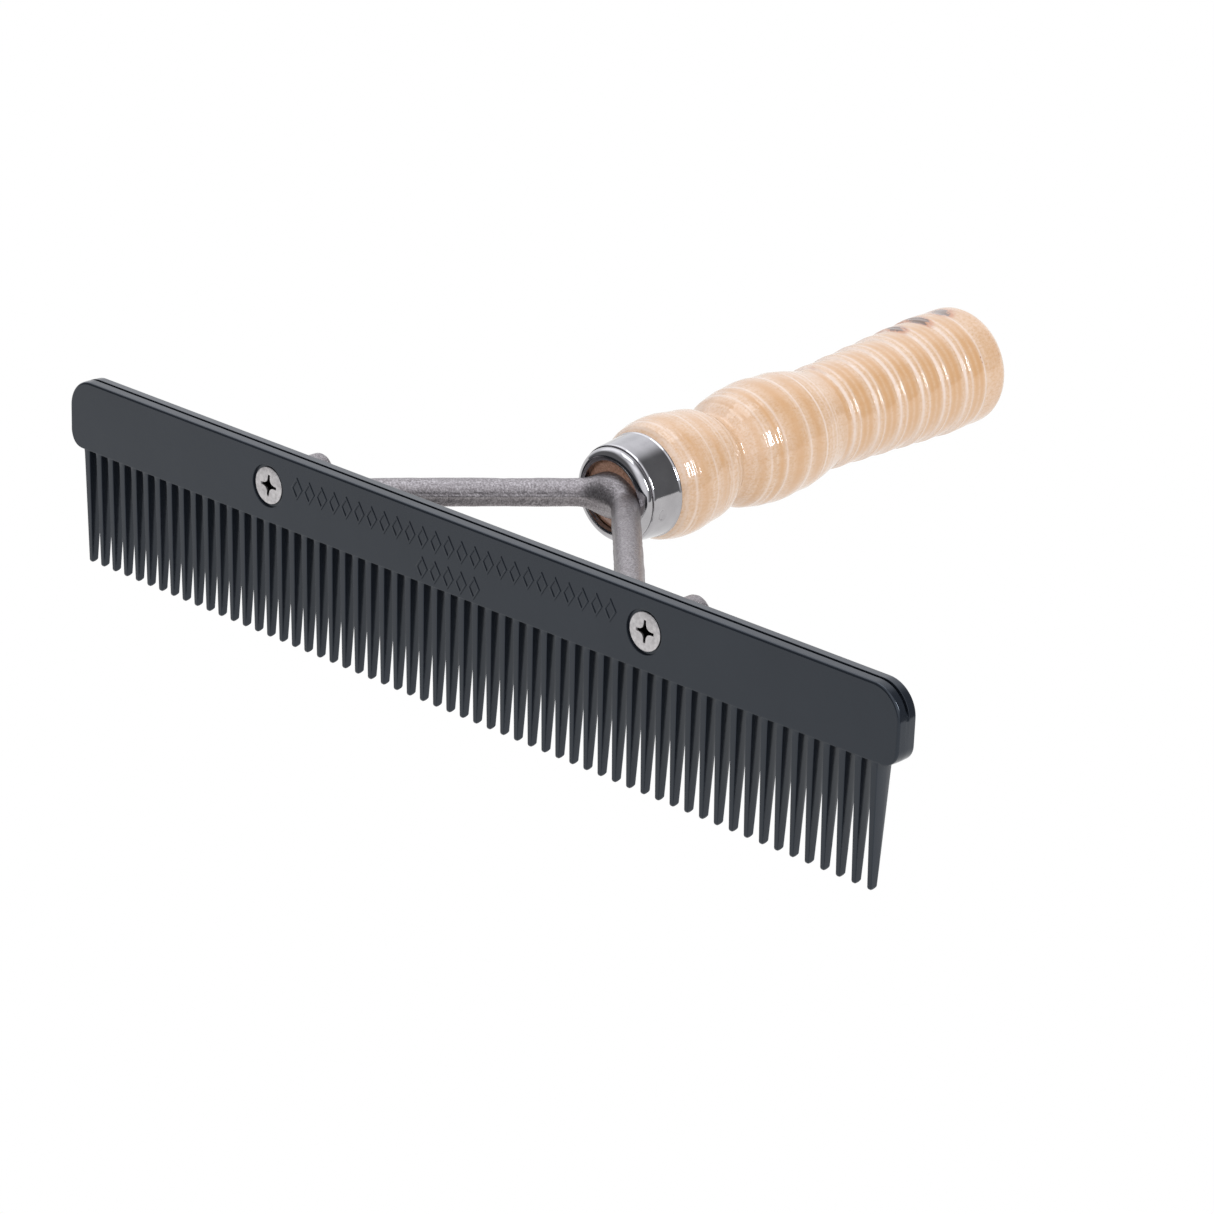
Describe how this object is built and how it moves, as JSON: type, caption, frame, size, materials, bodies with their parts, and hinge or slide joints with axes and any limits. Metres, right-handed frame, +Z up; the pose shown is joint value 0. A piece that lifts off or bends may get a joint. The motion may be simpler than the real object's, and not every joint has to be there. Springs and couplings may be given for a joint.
{
  "type": "livestock show comb",
  "caption": "Long straight comb screwed to a forked steel shank, with a steel ferrule and a turned wooden handle; combs and fluffs the coat of livestock.",
  "frame": {"origin": "on the surface the comb lies on, under the middle of its box", "axes": "+X along the comb, +Y from the comb towards the handle's butt, +Z up from the surface; the comb leans back 9.5 degrees, because the comb lies on its tooth tips and the butt of the handle"},
  "size_m": [0.2286, 0.1632, 0.0404],
  "materials": {
    "comb_plastic": "moulded blue-black plastic with a satin sheen",
    "screw_steel": "plain zinc-bright steel with a stamped cross recess",
    "cast_steel": "tumbled bare steel casting with a parting line",
    "ferrule_plate": "dark nickel plate, polished",
    "lacquered_wood": "pale turned hardwood under clear gloss lacquer"
  },
  "bodies": {
    "root": {"comb_spine": "comb_plastic", "comb_teeth": "comb_plastic", "comb_screws": "screw_steel", "fork": "cast_steel", "ferrule": "ferrule_plate", "handle": "lacquered_wood"}
  },
  "joints": []
}
